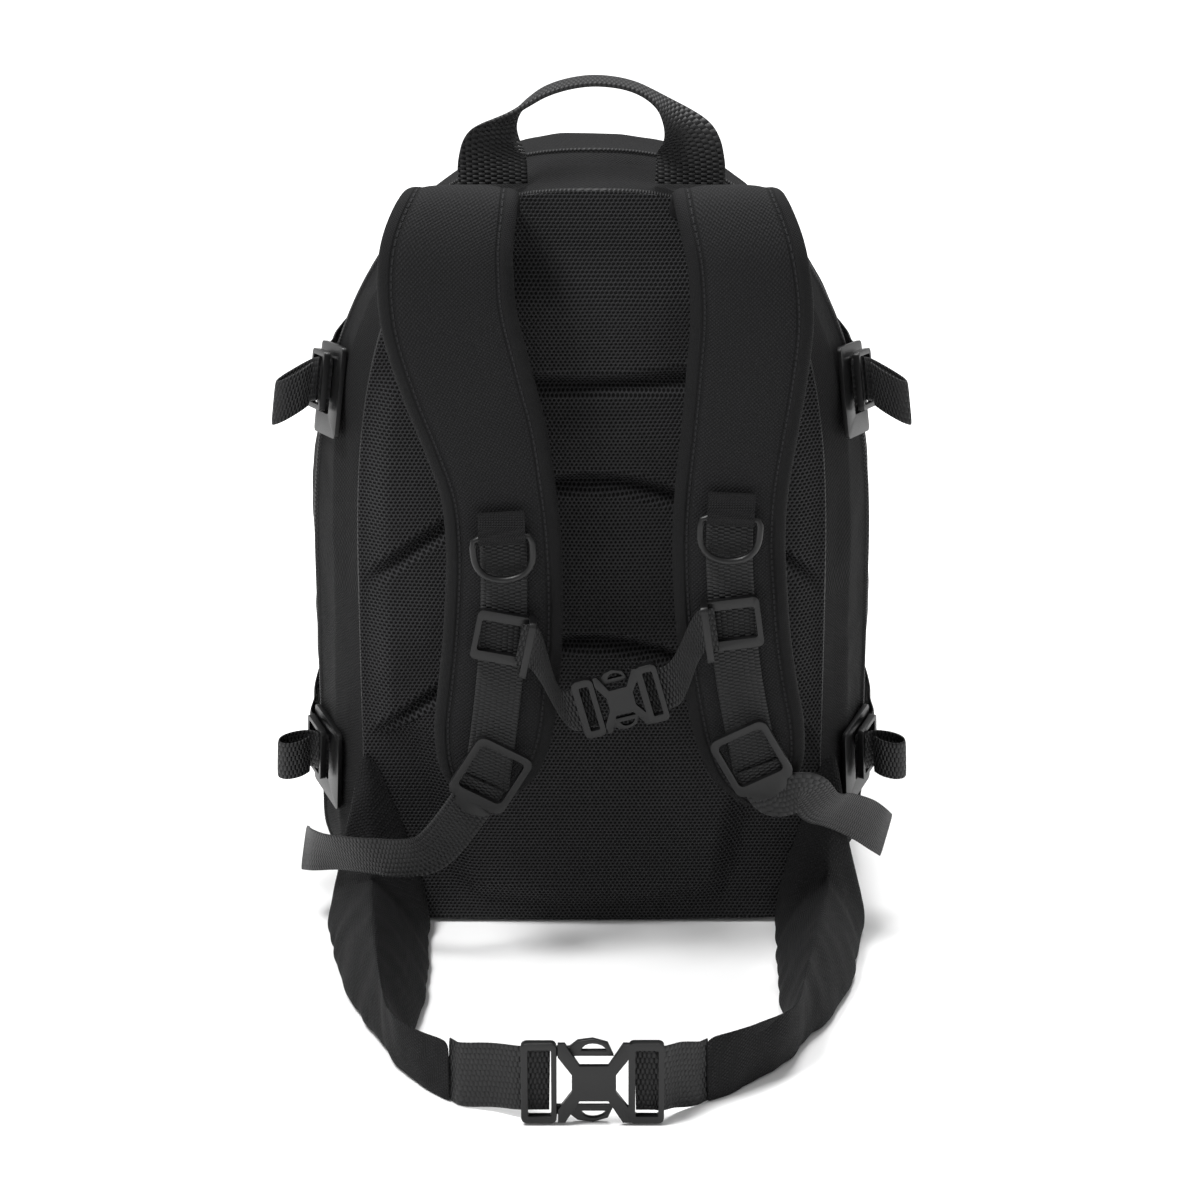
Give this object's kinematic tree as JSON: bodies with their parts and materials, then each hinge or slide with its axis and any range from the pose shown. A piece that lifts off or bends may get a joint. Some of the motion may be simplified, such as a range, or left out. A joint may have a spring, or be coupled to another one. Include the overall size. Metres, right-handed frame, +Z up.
{
  "type": "daypack",
  "caption": "Black fabric daypack standing upright, with a padded mesh back, shoulder straps, chest strap and a fastened hip belt with plastic buckles.",
  "frame": {"origin": "centre of the flat base's underside, on the floor", "axes": "+Z up; -Y out of the harness side that faces the camera in the picture; +X to the picture's right"},
  "size_m": [0.3554, 0.4402, 0.4927],
  "materials": {
    "cloth": "matt woven nylon",
    "mesh": "open knitted mesh over foam",
    "webbing": "ribbed webbing",
    "zip": "coated zip tape",
    "plastic": "satin moulded"
  },
  "bodies": {
    "pack": {"rear_gusset": "cloth", "front_gusset": "cloth", "main_zip": "zip", "front_panel": "cloth", "base_panel": "cloth", "harness_panel": "mesh", "zip_pull_left": "webbing", "zip_pull_right": "webbing", "strap_pad_left": "cloth", "strap_pad_right": "cloth", "strap_webbing_left": "webbing", "strap_webbing_right": "webbing", "ring_tab_left": "webbing", "ring_tab_right": "webbing", "chest_clip_left": "plastic", "chest_clip_right": "plastic", "ladder_lock_left": "plastic", "ladder_lock_right": "plastic", "chest_buckle_plug": "plastic", "chest_buckle_socket": "plastic", "chest_webbing_left": "webbing", "chest_webbing_right": "webbing", "carry_handle": "webbing", "hip_wing_left": "cloth", "hip_wing_right": "cloth", "hip_buckle_plug": "plastic", "hip_buckle_socket": "plastic", "hip_webbing_left": "webbing", "hip_webbing_right": "webbing", "lower_webbing_left": "webbing", "lower_webbing_right": "webbing", "upper_plate_left": "plastic", "upper_plate_right": "plastic", "upper_buckle_left": "plastic", "upper_buckle_right": "plastic", "upper_strap_left": "webbing", "upper_strap_right": "webbing", "upper_tail_left": "webbing", "upper_tail_right": "webbing", "lower_plate_left": "plastic", "lower_plate_right": "plastic", "lower_buckle_left": "plastic", "lower_buckle_right": "plastic", "lower_strap_left": "webbing", "lower_strap_right": "webbing", "lower_tail_left": "webbing", "lower_tail_right": "webbing"},
    "ring_left": {"d_ring_left": "plastic"},
    "ring_right": {"d_ring_right": "plastic"}
  },
  "joints": [
    {"name": "ring_left_swing", "type": "hinge", "parent": "pack", "child": "ring_left", "pos_m": [-0.04732, -0.1615, 0.26193], "axis": [-0.9979, -0.0011, -0.0641], "range_deg": [0, 120]},
    {"name": "ring_right_swing", "type": "hinge", "parent": "pack", "child": "ring_right", "pos_m": [0.07348, -0.16131, 0.27278], "axis": [-0.9986, 0.0009, 0.0535], "range_deg": [0, 120]}
  ]
}
